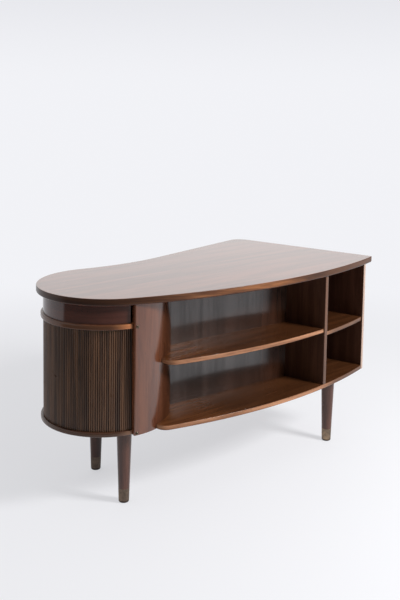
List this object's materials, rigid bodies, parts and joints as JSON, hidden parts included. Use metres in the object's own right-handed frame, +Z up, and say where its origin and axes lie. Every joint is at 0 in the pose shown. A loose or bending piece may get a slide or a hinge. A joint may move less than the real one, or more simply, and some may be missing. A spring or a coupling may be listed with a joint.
{
  "type": "kidney-shaped desk",
  "caption": "Kidney-shaped wooden desk with a round tambour cabinet, an open bookcase along the curved front, user-side drawers and tapered legs with brass feet.",
  "frame": {"origin": "on the floor, under the middle of the desk top's bounding rectangle", "axes": "+Z up; +X along the desk from the tambour drum to the drawer end; the bookcase front faces -Y and the sitter sits on the +Y side"},
  "size_m": [1.3759, 0.7135, 0.73],
  "materials": {
    "top_veneer": "satin lacquer over figured dark veneer",
    "case_wood": "satin lacquer over dark reddish-brown veneer",
    "tambour_wood": "satin lacquer on dark slats",
    "leg_wood": "satin lacquer on turned dark wood",
    "inner_wood": "bare hardwood and plywood",
    "drawer_lining": "waxed pale hardwood",
    "canvas": "plain woven backing cloth",
    "aged_brass": "aged and dulled",
    "screw_brass": "dark slotted brass",
    "bolt_steel": "plain steel"
  },
  "bodies": {
    "carcass": {"bookcase_back": "case_wood", "bookcase_bottom": "case_wood", "cabinet_shelf": "inner_wood", "divider": "case_wood", "drawer_runners_left": "inner_wood", "drawer_runners_right": "inner_wood", "drum_bottom": "case_wood", "drum_wall": "case_wood", "drum_wall_screws": "screw_brass", "end_panel": "case_wood", "ferrule_back_left": "aged_brass", "ferrule_back_right": "aged_brass", "ferrule_front_left": "aged_brass", "ferrule_front_right": "aged_brass", "frieze": "case_wood", "glue_blocks": "inner_wood", "leg_back_left": "leg_wood", "leg_back_right": "leg_wood", "leg_bolts": "bolt_steel", "leg_front_left": "leg_wood", "leg_front_right": "leg_wood", "long_shelf": "case_wood", "middle_board": "case_wood", "pedestal_back": "case_wood", "pencil_drawer_guides": "inner_wood", "pocket_liner": "inner_wood", "short_shelf": "case_wood", "top": "top_veneer"},
    "tambour": {"tambour_canvas": "canvas", "tambour_lead_rail": "tambour_wood", "tambour_slats": "tambour_wood"},
    "drawer_1": {"drawer_1_back": "drawer_lining", "drawer_1_bottom": "drawer_lining", "drawer_1_front": "case_wood", "drawer_1_left_side": "drawer_lining", "drawer_1_pull": "case_wood", "drawer_1_right_side": "drawer_lining"},
    "drawer_2": {"drawer_2_back": "drawer_lining", "drawer_2_bottom": "drawer_lining", "drawer_2_front": "case_wood", "drawer_2_left_side": "drawer_lining", "drawer_2_pull": "case_wood", "drawer_2_right_side": "drawer_lining"},
    "drawer_3": {"drawer_3_back": "drawer_lining", "drawer_3_bottom": "drawer_lining", "drawer_3_front": "case_wood", "drawer_3_left_side": "drawer_lining", "drawer_3_pull": "case_wood", "drawer_3_right_side": "drawer_lining"},
    "pencil_drawer": {"pencil_drawer_back": "drawer_lining", "pencil_drawer_bottom": "drawer_lining", "pencil_drawer_front": "case_wood", "pencil_drawer_left_side": "drawer_lining", "pencil_drawer_pull": "case_wood", "pencil_drawer_right_side": "drawer_lining"}
  },
  "joints": [
    {"name": "tambour_slide", "type": "hinge", "parent": "carcass", "child": "tambour", "pos_m": [-0.46199, -0.00485, 0.45], "axis": [0, 0, 1], "range_deg": [0, 120]},
    {"name": "drawer_1_slide", "type": "slide", "parent": "carcass", "child": "drawer_1", "axis": [-0.2079, 0.9781, 0], "range_m": [0, 0.3]},
    {"name": "drawer_2_slide", "type": "slide", "parent": "carcass", "child": "drawer_2", "axis": [-0.2079, 0.9781, 0], "range_m": [0, 0.3]},
    {"name": "drawer_3_slide", "type": "slide", "parent": "carcass", "child": "drawer_3", "axis": [-0.2079, 0.9781, 0], "range_m": [0, 0.3]},
    {"name": "pencil_drawer_slide", "type": "slide", "parent": "carcass", "child": "pencil_drawer", "axis": [0, 1, 0], "range_m": [0, 0.2]}
  ]
}
